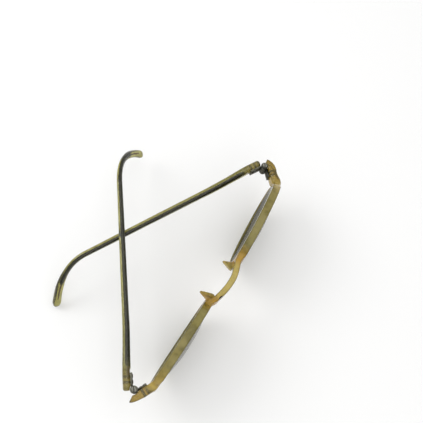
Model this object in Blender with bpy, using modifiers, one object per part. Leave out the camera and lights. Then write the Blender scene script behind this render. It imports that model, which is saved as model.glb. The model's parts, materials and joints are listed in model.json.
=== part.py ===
"""Glacier glasses: an acetate front, two spring-cored temples and riveted three-knuckle hinges.

The glasses stand on their rims and on the left ear hook, half folded, with the right temple
over the left one. X runs to the wearer's left, Y to the rear and Z up. The two hinge axes are
vertical. Lengths below are in millimetres and MM turns them into metres.
"""
import math

import bmesh
import bpy
from mathutils import Matrix, Vector

MM = 0.001
BEVEL_ANGLE = math.radians(50)
SMOOTH_ANGLE = math.radians(35)
WELD_DISTANCE = 0.00001                         # metres
CUTTER_REACH = 15.0                             # half size of a cutter, clear past its work
SIDES = {"right": -1, "left": 1}

# Hinges
HINGE_HALF_SPACING = 61.0
REST_ANGLE = {"right": 55.0, "left": 58.0}      # degrees inward from fully open
BARREL_RADIUS = 1.7
KNUCKLE_HALF_HEIGHT = 1.05                      # middle knuckle, on the temple
KNUCKLE_GAP = 0.25
KNUCKLE_RELIEF = 0.19                           # plate cut back past the other's knuckles
BARREL_HALF_HEIGHT = 3.4
LEAF_THICKNESS = 0.75
LEAF_HALF_HEIGHT = 2.6
LEAF_FACE = 0.58                                # axis to the near side of a leaf
ACETATE_FACE = 1.45                             # axis to the acetate that a leaf lies on
FIT_GAP = 0.12                                  # between a leaf and what touches it
SWING_CLEARANCE = 0.25
LEAF_TUCK = 0.4                                 # past the axis, inside the knuckles
FRONT_LEAF_REACH = 5.6
TEMPLE_LEAF_REACH = 7.2
PIN_RADIUS = 0.65
PIN_BORE_RADIUS = 0.78
SCREW_HEAD_RADIUS = 1.25
SCREW_HEAD_HEIGHT = 0.55
SCREW_SLOT_WIDTH = 0.35
SCREW_SLOT_DEPTH = 0.3
SCREW_SLOT_TURN = 35.0                         # degrees
SCREW_HEAD_GAP = 0.3                            # above the top knuckle

# Rivets
RIVET_RADIUS = 0.55
RIVET_CLEARANCE = 0.15
RIVET_HEAD_RADIUS = 0.95
RIVET_HEAD_HEIGHT = 0.22
RIVET_END_INSET = 0.35
RIVET_CROWN = (0.7, 0.8)                        # shares of the head's radius and height
RIVET_STEPS = 16
RIVET_HOLE_REACH = 12.0
TEMPLE_RIVET_AT = (3.4, 5.8)
FRONT_RIVET_AT = (2.6, 4.6)

# Front
SHEET = 3.8
EYE_HALF_WIDTH = 22.0
EYE_HALF_HEIGHT = 19.5
EYE_SQUARENESS = 2.12
EYE_TOP_FLARE = 0.05
RIM_BAND = 2.4
EYE_CENTRE_X = 33.7
EYE_CENTRE_Z = -7.2
EYE_CENTRE_Y = {"right": -7.5, "left": -10.1}   # the old frame sits askew in plan
EYE_WRAP = {"right": 0.062, "left": 0.04}       # radians
RIM_TILT = {"right": 0.06, "left": 0.08}        # radians, foot of the rim to the rear
RIM_EDGE_ROUND = 0.5
OUTLINE_STEPS = 48

BRIDGE_APEX_Y = -13.7
BRIDGE_BOW = 3.0
BRIDGE_HALF_LENGTH = 17.0
BRIDGE_BOW_LENGTH = 10.5
BRIDGE_SHEET = 2.9
BRIDGE_LOW = 1.6
BRIDGE_HIGH = 7.2
BRIDGE_STEPS = 20

END_ANGLE = {"right": 27.0, "left": 42.0}       # degrees, end piece swept back from the X axis
END_HALF_HEIGHT = 3.9
END_TIP_REACH = 4.6
END_TAPER_START = -4.0
END_INNER_REACH = -9.2
END_BUTT_Y = {"right": -0.6, "left": 0.3}       # where the open temple butts
END_EDGE_ROUND = 0.5
END_STEPS = 8

# Nose pads
PAD_HALF_THICKNESS = 1.35
PAD_DEPTH = 4.0
PAD_HALF_HEIGHT = 6.3
PAD_X = 9.0
PAD_Z = -2.6
PAD_SPLAY = 8.0                                 # degrees, seen from the front
PAD_GAP = 0.3
PAD_STEPS = 16

# Lenses
LENS_RADIUS_FRONT = 88.0
LENS_THICKNESS = 1.8
LENS_EDGE_CLEARANCE = 0.3
LENS_RIDGE_OUT = 0.6
LENS_RIDGE_IN = 0.9
LENS_RIDGE_THICKNESS = 1.0
GROOVE_DEPTH = 0.9
GROOVE_WIDTH = 1.6
LENS_REST_RHO = 21.0                            # radius at which the lens sits on mid rim
BLANK_RADIUS = 27.0
BLANK_STEPS = 32
BLANK_RINGS = 6

# Temples
TEMPLE_SLOPE = {"right": 0.0, "left": -0.07}
BUTT_GAP = 0.4
TEMPLE_BEND_START = 97.0
BEND_SHARE = 0.78                               # share of the temple's length before the hook
HOOK_CONTROL = {"right": 115.5, "left": 110.5}  # along; the left hook is bent sooner
HOOK_END = (120.5, 11.2, 19.4)                  # along, inward, down
TEMPLE_SECTION_SIDES = 16
TEMPLE_SQUARENESS = 2.7
WIRE_RADIUS = 0.55
WIRE_CHANNEL_RADIUS = 0.84
WIRE_START = 8.6
WIRE_END_SHARE = 0.86
CHANNEL_START_SHARE = -0.02                     # opens at the butt
CHANNEL_END_SHARE = 0.885
WIRE_SAMPLES = 30

# (share of the way along, thickness, height): thickness is the lateral size
TEMPLE_SIZES = (
    (0.00, 3.5, 5.8),
    (0.06, 3.7, 6.0),
    (0.16, 3.4, 4.6),
    (0.35, 3.1, 3.6),
    (0.60, 2.9, 3.3),
    (0.76, 2.7, 3.0),
    (0.87, 2.5, 2.7),
    (0.95, 3.0, 3.8),
    (1.00, 3.1, 4.2),
)
TEMPLE_OUTSET = ((0.0, 3.1), (0.25, 2.2), (1.0, 2.0))   # centre line outward of the axis
TEMPLE_FLAT_PAST_LEAF = 1.2

# (share of the way along, size against the full section) where the ends round off
TEMPLE_BUTT_RINGS = ((0.0, 0.8), (0.012, 1.0))
TEMPLE_TIP_RINGS = ((0.98, 1.0), (0.992, 0.86), (1.0, 0.55))
STRAIGHT_START = 0.04
STRAIGHT_RINGS = 12
HOOK_RINGS = 8
TANGENT_STEP = 0.004                            # share either side of a point

ACETATE_HONEY = (0.45, 0.33, 0.10, 1.0)
ACETATE_OLIVE = (0.27, 0.27, 0.10, 1.0)
LENS_GREY = (0.19, 0.19, 0.16, 1.0)
HINGE_METAL = (0.13, 0.12, 0.09, 1.0)
WIRE_METAL = (0.06, 0.05, 0.03, 1.0)


def clear_scene():
    for item in list(bpy.data.objects):
        bpy.data.objects.remove(item, do_unlink=True)


def collection(name):
    made = bpy.data.collections.new(name)
    bpy.context.scene.collection.children.link(made)
    return made


def principled(name, colour, roughness, metallic=0.0):
    made = bpy.data.materials.new(name)
    made.use_nodes = True
    shader = made.node_tree.nodes["Principled BSDF"]
    shader.inputs["Base Color"].default_value = colour
    shader.inputs["Roughness"].default_value = roughness
    shader.inputs["Metallic"].default_value = metallic
    made.diffuse_color = colour
    return made


def object_from(mesh_data, name):
    made = bpy.data.objects.new(name, mesh_data)
    bpy.context.scene.collection.objects.link(made)
    return made


def object_from_bmesh(shape, name):
    bmesh.ops.recalc_face_normals(shape, faces=shape.faces)
    mesh_data = bpy.data.meshes.new(name)
    shape.to_mesh(mesh_data)
    shape.free()
    return object_from(mesh_data, name)


def baked(item):
    """Replace an object by a plain mesh object that holds its evaluated shape."""
    bpy.context.view_layer.update()
    evaluated = item.evaluated_get(bpy.context.evaluated_depsgraph_get())
    mesh_data = bpy.data.meshes.new_from_object(evaluated)
    mesh_data.transform(item.matrix_world)
    name = item.name
    bpy.data.objects.remove(item, do_unlink=True)
    shape = bmesh.new()
    shape.from_mesh(mesh_data)
    bmesh.ops.remove_doubles(shape, verts=shape.verts, dist=WELD_DISTANCE)
    return object_from_bmesh(shape, name)


def combine(target, tool, operation):
    """Apply one exact Boolean and remove the tool."""
    step = target.modifiers.new("combine", "BOOLEAN")
    step.operation = operation
    step.solver = "EXACT"
    step.object = tool
    made = baked(target)
    bpy.data.objects.remove(tool, do_unlink=True)
    return made


def rounded(item, width):
    step = item.modifiers.new("round", "BEVEL")
    step.width = width * MM
    step.segments = 1
    step.limit_method = "ANGLE"
    step.angle_limit = BEVEL_ANGLE
    return baked(item)


def plate(name, outlines, thickness):
    """A flat plate in the XY plane, centred on Z, from closed outlines in millimetres."""
    curve = bpy.data.curves.new(name, "CURVE")
    curve.dimensions = "2D"
    curve.fill_mode = "BOTH"
    curve.extrude = thickness * MM / 2
    for outline in outlines:
        spline = curve.splines.new("POLY")
        spline.points.add(len(outline) - 1)
        for point, (x, y) in zip(spline.points, outline):
            point.co = (x * MM, y * MM, 0.0, 1.0)
        spline.use_cyclic_u = True
    return baked(object_from(curve, name))


def placed(item, frame):
    """Move a mesh by a frame that may mirror, and keep its faces pointing out."""
    item.data.transform(frame)
    if frame.determinant() < 0:
        item.data.flip_normals()
    return item


def cylinder(name, radius, low, high, segments=28):
    """A cylinder on the Z axis, in millimetres."""
    shape = bmesh.new()
    bmesh.ops.create_cone(
        shape, cap_ends=True, segments=segments, radius1=radius * MM, radius2=radius * MM,
        depth=(high - low) * MM, matrix=Matrix.Translation((0, 0, (low + high) / 2 * MM)))
    return object_from_bmesh(shape, name)


def box(name, low, high):
    size = [(b - a) * MM for a, b in zip(low, high)]
    centre = [(a + b) / 2 * MM for a, b in zip(low, high)]
    shape = bmesh.new()
    bmesh.ops.create_cube(
        shape, size=1.0,
        matrix=Matrix.Translation(centre) @ Matrix.Diagonal((size[0], size[1], size[2], 1.0)))
    return object_from_bmesh(shape, name)


def turned(name, profile, steps):
    """A turned solid on the Z axis, from (radius, height) pairs in millimetres, top first."""
    shape = bmesh.new()
    verts = [shape.verts.new((radius * MM, 0, height * MM)) for radius, height in profile]
    for first, second in zip(verts, verts[1:]):
        shape.edges.new((first, second))
    mesh_data = bpy.data.meshes.new(name)
    shape.to_mesh(mesh_data)
    shape.free()
    item = object_from(mesh_data, name)
    turn = item.modifiers.new("turn", "SCREW")
    turn.steps = steps
    turn.render_steps = steps
    turn.use_merge_vertices = True
    turn.merge_threshold = WELD_DISTANCE
    return baked(item)


def shift(x, y, z):
    return Matrix.Translation((x * MM, y * MM, z * MM))


# Frames of reference ------------------------------------------------------------------


def eye_frame(side):
    """Maps a plate drawn in XY (X outward, Y up, thickness on Z) onto the eye of one side."""
    sign = SIDES[side]
    stand = Matrix.Rotation(math.radians(90), 4, "X")
    mirror = Matrix.Diagonal((sign, 1.0, 1.0, 1.0))
    tilt = Matrix.Rotation(RIM_TILT[side], 4, "X")
    wrap = Matrix.Rotation(sign * EYE_WRAP[side], 4, "Z")
    centre = shift(sign * EYE_CENTRE_X, EYE_CENTRE_Y[side], EYE_CENTRE_Z)
    return centre @ wrap @ tilt @ stand @ mirror


def end_frame(side):
    """Maps X along the end piece (outward), Y to its rear and Z up onto one end piece."""
    sign = SIDES[side]
    turn = Matrix.Rotation(math.radians(END_ANGLE[side]), 4, "Z")
    mirror = Matrix.Diagonal((sign, 1.0, 1.0, 1.0))
    return shift(sign * HINGE_HALF_SPACING, 0, 0) @ mirror @ turn


def temple_frame(side):
    """Maps the open temple (X outward, Y to the rear, Z up, axis at the origin) to rest."""
    sign = SIDES[side]
    fold = Matrix.Rotation(math.radians(REST_ANGLE[side]), 4, "Z")
    mirror = Matrix.Diagonal((sign, 1.0, 1.0, 1.0))
    return shift(sign * HINGE_HALF_SPACING, 0, 0) @ mirror @ fold


# Front --------------------------------------------------------------------------------


def eye_outline(grow):
    """The eye shape, wider above than below, grown by a distance in millimetres."""
    points = []
    for step in range(OUTLINE_STEPS):
        turn = 2 * math.pi * step / OUTLINE_STEPS
        c, s = math.cos(turn), math.sin(turn)
        power = 2 / EYE_SQUARENESS
        across = math.copysign(abs(c) ** power, c) * (1 + EYE_TOP_FLARE * s)
        up = math.copysign(abs(s) ** power, s)
        points.append(((EYE_HALF_WIDTH + grow) * across, (EYE_HALF_HEIGHT + grow) * up))
    return points


def bridge_outline():
    """The bridge seen from above: a band that bows forward between the two eyes."""
    inner_x = EYE_CENTRE_X - EYE_HALF_WIDTH
    ends = [EYE_CENTRE_Y[side] - inner_x * EYE_WRAP[side] for side in ("right", "left")]
    skew = (ends[1] - ends[0]) / (2 * inner_x)
    centre_line = []
    for step in range(BRIDGE_STEPS + 1):
        x = BRIDGE_HALF_LENGTH * (2 * step / BRIDGE_STEPS - 1)
        reach = min(abs(x) / BRIDGE_BOW_LENGTH, 1.0)
        y = BRIDGE_APEX_Y + BRIDGE_BOW * reach ** 2 * (1.5 - 0.5 * reach) + skew * x
        centre_line.append((x, y))
    half = BRIDGE_SHEET / 2
    front = [(x, y - half) for x, y in centre_line]
    rear = [(x, y + half) for x, y in reversed(centre_line)]
    return front + rear


def end_outline():
    """The end piece seen from above, in its own frame: it thins to a rounded tip."""
    rear = -ACETATE_FACE
    front = rear - SHEET
    points = [(END_INNER_REACH, rear), (END_INNER_REACH, front)]
    span = END_TIP_REACH - END_TAPER_START
    for step in range(END_STEPS + 1):
        turn = math.pi / 2 * step / END_STEPS
        x = END_TAPER_START + span * math.sin(turn)
        points.append((x, rear - SHEET * math.cos(turn)))
    return points


def end_piece(side):
    item = plate("end_" + side, [end_outline()], 2 * END_HALF_HEIGHT)
    item = rounded(item, END_EDGE_ROUND)
    item = placed(item, end_frame(side))
    reach = CUTTER_REACH
    butt = box("butt", (-reach, END_BUTT_Y[side], -reach), (reach, reach, reach))
    butt = placed(butt, shift(SIDES[side] * HINGE_HALF_SPACING, 0, 0))
    return combine(item, butt, "DIFFERENCE")


def build_front():
    front = None
    for side in SIDES:
        rim = plate("rim_" + side, [eye_outline(RIM_BAND)], SHEET)
        rim = placed(rounded(rim, RIM_EDGE_ROUND), eye_frame(side))
        front = rim if front is None else combine(front, rim, "UNION")
        front = combine(front, end_piece(side), "UNION")
    bridge = plate("bridge", [bridge_outline()], BRIDGE_HIGH - BRIDGE_LOW)
    bridge = placed(rounded(bridge, RIM_EDGE_ROUND), shift(0, 0, (BRIDGE_HIGH + BRIDGE_LOW) / 2))
    front = combine(front, bridge, "UNION")
    for side in SIDES:
        opening = placed(plate("opening", [eye_outline(0.0)], 2 * CUTTER_REACH), eye_frame(side))
        front = combine(front, opening, "DIFFERENCE")
        groove = placed(plate("groove", [eye_outline(GROOVE_DEPTH)], GROOVE_WIDTH), eye_frame(side))
        front = combine(front, groove, "DIFFERENCE")
        relief = placed(knuckle_relief(), shift(SIDES[side] * HINGE_HALF_SPACING, 0, 0))
        front = combine(front, relief, "DIFFERENCE")
        for along in FRONT_RIVET_AT:
            hole = placed(rivet_hole(), front_rivet_frame(side, along))
            front = combine(front, hole, "DIFFERENCE")
    front.name = "front"
    return front


# Lenses -------------------------------------------------------------------------------


def sagitta(radius, rho):
    return radius - math.sqrt(radius * radius - rho * rho)


def lens_blank():
    """A turned, domed blank on the Z axis, with its hollow side towards -Z."""
    back_radius = LENS_RADIUS_FRONT - LENS_THICKNESS
    rest = sagitta(LENS_RADIUS_FRONT, LENS_REST_RHO)
    profile = []
    for step in range(BLANK_RINGS + 1):
        rho = BLANK_RADIUS * step / BLANK_RINGS
        profile.append((rho, rest - sagitta(LENS_RADIUS_FRONT, rho) + LENS_THICKNESS / 2))
    for step in range(BLANK_RINGS, -1, -1):
        rho = BLANK_RADIUS * step / BLANK_RINGS
        profile.append((rho, rest - sagitta(back_radius, rho) - LENS_THICKNESS / 2))
    return turned("blank", profile, BLANK_STEPS)


def build_lens(side):
    """The blank edged to the eye's outline, with a ridge that sits in the rim's groove."""
    edge = plate("edge", [eye_outline(-LENS_EDGE_CLEARANCE)], CUTTER_REACH)
    lens = combine(lens_blank(), edge, "INTERSECT")
    ridge = plate("ridge", [eye_outline(LENS_RIDGE_OUT), eye_outline(-LENS_RIDGE_IN)],
                  LENS_RIDGE_THICKNESS)
    lens = combine(lens, ridge, "UNION")
    lens.name = "lens_" + side
    return placed(lens, eye_frame(side))


# Nose pads ----------------------------------------------------------------------------


def build_pad(side):
    """A leaf-shaped fin behind the nose side of the rim, cut flat where it is glued."""
    shape = bmesh.new()
    bmesh.ops.create_uvsphere(
        shape, u_segments=PAD_STEPS, v_segments=PAD_STEPS, radius=1.0,
        matrix=Matrix.Diagonal((PAD_HALF_THICKNESS * MM, PAD_DEPTH * MM, PAD_HALF_HEIGHT * MM, 1)))
    pad = object_from_bmesh(shape, "nose_pad_" + side)
    sign = SIDES[side]
    reach = CUTTER_REACH
    base = box("base", (-reach, -reach, -reach), (reach, PAD_GAP, reach))
    pad = combine(pad, base, "DIFFERENCE")
    splay = Matrix.Rotation(math.radians(-sign * PAD_SPLAY), 4, "Y")
    rear = (EYE_CENTRE_Y[side] - (EYE_CENTRE_X - PAD_X) * EYE_WRAP[side] + SHEET / 2
            - RIM_TILT[side] * (PAD_Z - EYE_CENTRE_Z))
    lean = Matrix.Rotation(RIM_TILT[side], 4, "X")
    place = shift(sign * PAD_X, rear, PAD_Z) @ lean @ splay
    return placed(pad, place)


# Hinges -------------------------------------------------------------------------------


def leaf(reach, knuckles, other_knuckles):
    """One hinge leaf in an end-piece-like frame: plate along +X, acetate on its +Y side.

    Its knuckles stand on the Z axis and its plate is cut back where the other leaf's
    knuckles turn.
    """
    item = box("leaf", (-LEAF_TUCK, LEAF_FACE, -LEAF_HALF_HEIGHT),
               (reach, LEAF_FACE + LEAF_THICKNESS, LEAF_HALF_HEIGHT))
    for low, high in other_knuckles:
        sweep = cylinder("sweep", BARREL_RADIUS + SWING_CLEARANCE,
                         low - KNUCKLE_RELIEF, high + KNUCKLE_RELIEF)
        item = combine(item, sweep, "DIFFERENCE")
    for low, high in knuckles:
        item = combine(item, cylinder("knuckle", BARREL_RADIUS, low, high), "UNION")
    bore = cylinder("bore", PIN_BORE_RADIUS, -CUTTER_REACH, CUTTER_REACH)
    return combine(item, bore, "DIFFERENCE")


MIDDLE_KNUCKLE = ((-KNUCKLE_HALF_HEIGHT, KNUCKLE_HALF_HEIGHT),)
OUTER_KNUCKLES = (
    (-BARREL_HALF_HEIGHT, -KNUCKLE_HALF_HEIGHT - KNUCKLE_GAP),
    (KNUCKLE_HALF_HEIGHT + KNUCKLE_GAP, BARREL_HALF_HEIGHT),
)


def front_leaf_frame(side):
    """Leaf frame to the back of the end piece: +X runs to the nose, +Y forward."""
    return end_frame(side) @ Matrix.Rotation(math.pi, 4, "Z")


def temple_leaf_frame(side):
    """Leaf frame to the inner face of the temple: +X runs to the rear, +Y outward."""
    swap = Matrix(((0, 1, 0, 0), (1, 0, 0, 0), (0, 0, 1, 0), (0, 0, 0, 1)))
    return temple_frame(side) @ swap


def rivet_hole():
    """A clearance hole through the leaf and the acetate, on the Y axis of a leaf frame."""
    hole = cylinder("hole", RIVET_RADIUS + RIVET_CLEARANCE, -2, RIVET_HOLE_REACH, RIVET_STEPS)
    return placed(hole, Matrix.Rotation(math.radians(-90), 4, "X"))


def knuckle_relief():
    """The space, on the hinge axis, that the turning knuckles sweep."""
    return cylinder("relief", BARREL_RADIUS + SWING_CLEARANCE, -CUTTER_REACH, CUTTER_REACH)


def front_rivet_frame(side, along):
    return front_leaf_frame(side) @ shift(along, 0, 0)


def temple_rivet_frame(side, along):
    return temple_leaf_frame(side) @ shift(along, 0, 0)


def build_front_leaf(side):
    item = leaf(FRONT_LEAF_REACH, OUTER_KNUCKLES, MIDDLE_KNUCKLE)
    for along in FRONT_RIVET_AT:
        hole = placed(rivet_hole(), shift(along, 0, 0))
        item = combine(item, hole, "DIFFERENCE")
    item.name = "front_hinge_leaf_" + side
    return placed(item, front_leaf_frame(side))


def build_temple_leaf(side):
    item = leaf(TEMPLE_LEAF_REACH, MIDDLE_KNUCKLE, OUTER_KNUCKLES)
    for along in TEMPLE_RIVET_AT:
        hole = placed(rivet_hole(), shift(along, 0, 0))
        item = combine(item, hole, "DIFFERENCE")
    item.name = "temple_hinge_leaf_" + side
    return placed(item, temple_leaf_frame(side))


def build_rivet(name, frame, acetate_thickness):
    """A rivet on the Y axis of a leaf frame: a domed head on the leaf, its end in acetate."""
    head_face = LEAF_FACE - FIT_GAP
    foot = -(ACETATE_FACE - head_face + acetate_thickness - RIVET_END_INSET)
    profile = [
        (0.0, RIVET_HEAD_HEIGHT),
        (RIVET_HEAD_RADIUS * RIVET_CROWN[0], RIVET_HEAD_HEIGHT * RIVET_CROWN[1]),
        (RIVET_HEAD_RADIUS, 0.0),
        (RIVET_RADIUS, 0.0),
        (RIVET_RADIUS, foot),
        (0.0, foot),
    ]
    lay = Matrix.Rotation(math.radians(90), 4, "X")
    return placed(turned(name, profile, RIVET_STEPS), frame @ shift(0, head_face, 0) @ lay)


def build_screw(side):
    """The hinge pin: a slotted head on the top knuckle and a plain shank through all three."""
    head_low = BARREL_HALF_HEIGHT + SCREW_HEAD_GAP
    head_high = head_low + SCREW_HEAD_HEIGHT
    head = cylinder("head", SCREW_HEAD_RADIUS, head_low, head_high, segments=24)
    shank_top = head_low + SCREW_HEAD_HEIGHT / 3
    shank = cylinder("shank", PIN_RADIUS, -BARREL_HALF_HEIGHT, shank_top, segments=20)
    screw = combine(shank, head, "UNION")
    slot = box("slot", (-CUTTER_REACH, -SCREW_SLOT_WIDTH / 2, head_high - SCREW_SLOT_DEPTH),
               (CUTTER_REACH, SCREW_SLOT_WIDTH / 2, CUTTER_REACH))
    slot = placed(slot, Matrix.Rotation(math.radians(SCREW_SLOT_TURN), 4, "Z"))
    screw = combine(screw, slot, "DIFFERENCE")
    screw.name = "hinge_screw_" + side
    return placed(screw, shift(SIDES[side] * HINGE_HALF_SPACING, 0, 0))


# Temples ------------------------------------------------------------------------------


def between(table, share, column):
    """Smooth value of one column of a table at a share of the way along."""
    for low, high in zip(table, table[1:]):
        if share <= high[0]:
            part = (share - low[0]) / (high[0] - low[0])
            part = part * part * (3 - 2 * part)
            return low[column] + (high[column] - low[column]) * part
    return table[-1][column]


def butt_end(side):
    """Where the temple starts behind the hinge axis, just clear of the open end piece."""
    return END_BUTT_Y[side] + BUTT_GAP


def temple_point(side, share):
    """Centre line of the open temple: X outward, Y to the rear, Z up, in millimetres."""
    start = Vector((TEMPLE_BEND_START, 0.0, 0.0))
    if share <= BEND_SHARE:
        along = butt_end(side) + (TEMPLE_BEND_START - butt_end(side)) * share / BEND_SHARE
        route = Vector((along, 0.0, 0.0))
    else:
        t = (share - BEND_SHARE) / (1 - BEND_SHARE)
        control = Vector((HOOK_CONTROL[side], 0.0, 0.0))
        route = start * (1 - t) ** 2 + control * 2 * t * (1 - t) + Vector(HOOK_END) * t * t
    outset = between(TEMPLE_OUTSET, share, 1)
    drop = TEMPLE_SLOPE[side] * max(route.x - WIRE_START, 0.0)
    return Vector((outset - route.y, route.x, drop - route.z))


def section_frame(side, share):
    """Centre, lateral direction and upward direction of a cross-section."""
    before = temple_point(side, max(share - TANGENT_STEP, 0.0))
    after = temple_point(side, min(share + TANGENT_STEP, 1.0))
    ahead = (after - before).normalized()
    lateral = Vector((1, 0, 0))
    up = lateral.cross(ahead).normalized()
    lateral = ahead.cross(up).normalized()
    return temple_point(side, share), lateral, up


def section(side, share, squeeze=1.0):
    """One ring of points around the temple."""
    centre, lateral, up = section_frame(side, share)
    half_thick = between(TEMPLE_SIZES, share, 1) / 2 * squeeze
    half_high = between(TEMPLE_SIZES, share, 2) / 2 * squeeze
    power = 2 / TEMPLE_SQUARENESS
    ring = []
    for step in range(TEMPLE_SECTION_SIDES):
        turn = 2 * math.pi * (step + 0.5) / TEMPLE_SECTION_SIDES
        c, s = math.cos(turn), math.sin(turn)
        across = math.copysign(abs(c) ** power, c) * half_thick
        rise = math.copysign(abs(s) ** power, s) * half_high
        ring.append(centre + lateral * across + up * rise)
    return ring


def loft(name, rings):
    """A closed skin over rings of equal length, with flat ends."""
    shape = bmesh.new()
    loops = [[shape.verts.new(point * MM) for point in ring] for ring in rings]
    for first, second in zip(loops, loops[1:]):
        for index in range(len(first)):
            following = (index + 1) % len(first)
            shape.faces.new((first[index], first[following], second[following], second[index]))
    shape.faces.new(list(reversed(loops[0])))
    shape.faces.new(loops[-1])
    return object_from_bmesh(shape, name)


def wire_curve(name, side, from_share, to_share, radius):
    """A round wire along the temple's centre line, in the open temple's frame."""
    curve = bpy.data.curves.new(name, "CURVE")
    curve.dimensions = "3D"
    curve.bevel_depth = radius * MM
    curve.bevel_resolution = 2
    curve.use_fill_caps = True
    spline = curve.splines.new("POLY")
    spline.points.add(WIRE_SAMPLES - 1)
    for index, point in enumerate(spline.points):
        share = from_share + (to_share - from_share) * index / (WIRE_SAMPLES - 1)
        point.co = (*(temple_point(side, share) * MM), 1.0)
    return baked(object_from(curve, name))


def temple_rings(side):
    rings = [section(side, share, squeeze) for share, squeeze in TEMPLE_BUTT_RINGS]
    for step in range(STRAIGHT_RINGS + 1):
        part = step / STRAIGHT_RINGS
        rings.append(section(side, STRAIGHT_START + (BEND_SHARE - STRAIGHT_START) * part))
    hook = TEMPLE_TIP_RINGS[0][0] - BEND_SHARE
    for step in range(1, HOOK_RINGS + 1):
        rings.append(section(side, BEND_SHARE + hook * step / (HOOK_RINGS + 1)))
    rings += [section(side, share, squeeze) for share, squeeze in TEMPLE_TIP_RINGS]
    return rings


def build_temple(side):
    temple = loft("temple_" + side, temple_rings(side))
    temple = combine(temple, knuckle_relief(), "DIFFERENCE")
    flat = box("flat", (-CUTTER_REACH, -CUTTER_REACH, -CUTTER_REACH),
               (ACETATE_FACE, TEMPLE_LEAF_REACH + TEMPLE_FLAT_PAST_LEAF, CUTTER_REACH))
    temple = combine(temple, flat, "DIFFERENCE")
    temple = placed(temple, temple_frame(side))
    channel = wire_curve("channel", side, CHANNEL_START_SHARE, CHANNEL_END_SHARE,
                         WIRE_CHANNEL_RADIUS)
    temple = combine(temple, placed(channel, temple_frame(side)), "DIFFERENCE")
    for along in TEMPLE_RIVET_AT:
        hole = placed(rivet_hole(), temple_rivet_frame(side, along))
        temple = combine(temple, hole, "DIFFERENCE")
    temple.name = "temple_" + side
    return temple


def build_wire(side):
    butt = butt_end(side)
    start = BEND_SHARE * (WIRE_START - butt) / (TEMPLE_BEND_START - butt)
    wire = wire_curve("core_wire_" + side, side, start, WIRE_END_SHARE, WIRE_RADIUS)
    return placed(wire, temple_frame(side))


# Assembly -----------------------------------------------------------------------------


def pivot(side):
    """An empty on the hinge axis that carries everything that folds with the temple."""
    empty = bpy.data.objects.new("temple_%s_axis" % side, None)
    empty.location = (SIDES[side] * HINGE_HALF_SPACING * MM, 0, 0)
    bpy.context.scene.collection.objects.link(empty)
    return empty


def carry(item, parent):
    """Put an object's origin on its parent's axis without moving its shape."""
    item.data.transform(Matrix.Translation(-parent.location))
    item.parent = parent


def finish_object(item, group, material):
    item.data.materials.clear()
    item.data.materials.append(material)
    item.data.shade_smooth()
    item.data.set_sharp_from_angle(angle=SMOOTH_ANGLE)
    for owner in list(item.users_collection):
        owner.objects.unlink(item)
    group.objects.link(item)


def stand_on_origin(items, pivots):
    """Shift the object so that its origin is the bottom centre of its box."""
    bpy.context.view_layer.update()
    corners = [item.matrix_world @ vert.co for item in items for vert in item.data.vertices]
    low = [min(corner[axis] for corner in corners) for axis in range(3)]
    high = [max(corner[axis] for corner in corners) for axis in range(3)]
    move = Vector((-(low[0] + high[0]) / 2, -(low[1] + high[1]) / 2, -low[2]))
    for item in items:
        if item.parent is None:
            item.location += move
    for empty in pivots:
        empty.location += move


def main():
    clear_scene()
    group = collection("glacier_glasses")
    honey = principled("honey_acetate", ACETATE_HONEY, 0.18)
    olive = principled("olive_acetate", ACETATE_OLIVE, 0.2)
    glass = principled("grey_lens", LENS_GREY, 0.05)
    metal = principled("hinge_metal", HINGE_METAL, 0.45, 0.9)
    core = principled("core_wire_metal", WIRE_METAL, 0.4, 0.8)

    made = [(build_front(), honey)]
    pivots = []
    for side in SIDES:
        made.append((build_lens(side), glass))
        made.append((build_pad(side), honey))
        made.append((build_front_leaf(side), metal))
        made.append((build_screw(side), metal))
        for number, along in enumerate(FRONT_RIVET_AT, 1):
            name = "front_rivet_%s_%d" % (side, number)
            made.append((build_rivet(name, front_rivet_frame(side, along), SHEET), metal))
        axis = pivot(side)
        pivots.append(axis)
        folding = [
            (build_temple(side), olive),
            (build_wire(side), core),
            (build_temple_leaf(side), metal),
        ]
        for number, along in enumerate(TEMPLE_RIVET_AT, 1):
            name = "temple_rivet_%s_%d" % (side, number)
            rivet = build_rivet(name, temple_rivet_frame(side, along), TEMPLE_SIZES[1][1])
            folding.append((rivet, metal))
        for item, _ in folding:
            carry(item, axis)
        made += folding
    for item, material in made:
        finish_object(item, group, material)
    stand_on_origin([item for item, _ in made], pivots)


main()
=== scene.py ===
"""Looks of the glacier glasses: polished translucent acetate, tinted lenses, tarnished hinges.

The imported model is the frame. Lengths below are in millimetres and MM turns them into metres.
X runs to the wearer's left, Y to the rear and Z up.
"""

import json
import math

import bmesh
import bpy
from mathutils import Matrix, Vector, noise


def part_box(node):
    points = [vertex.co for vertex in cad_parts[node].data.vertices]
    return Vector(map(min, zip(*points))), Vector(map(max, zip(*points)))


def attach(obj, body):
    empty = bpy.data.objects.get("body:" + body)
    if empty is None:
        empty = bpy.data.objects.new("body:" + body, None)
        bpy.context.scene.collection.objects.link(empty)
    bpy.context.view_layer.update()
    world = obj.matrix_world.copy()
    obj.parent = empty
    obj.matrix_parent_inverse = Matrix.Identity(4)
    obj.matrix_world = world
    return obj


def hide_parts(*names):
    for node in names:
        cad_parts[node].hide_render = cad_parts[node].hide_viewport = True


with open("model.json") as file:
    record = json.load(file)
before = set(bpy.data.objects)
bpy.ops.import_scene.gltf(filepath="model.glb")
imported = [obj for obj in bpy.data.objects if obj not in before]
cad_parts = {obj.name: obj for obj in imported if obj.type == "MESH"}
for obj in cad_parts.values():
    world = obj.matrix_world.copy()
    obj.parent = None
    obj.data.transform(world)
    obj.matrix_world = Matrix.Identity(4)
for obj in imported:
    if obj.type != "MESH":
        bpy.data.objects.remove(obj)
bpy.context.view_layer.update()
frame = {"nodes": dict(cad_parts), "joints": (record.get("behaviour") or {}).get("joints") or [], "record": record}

MM = 0.001
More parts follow.
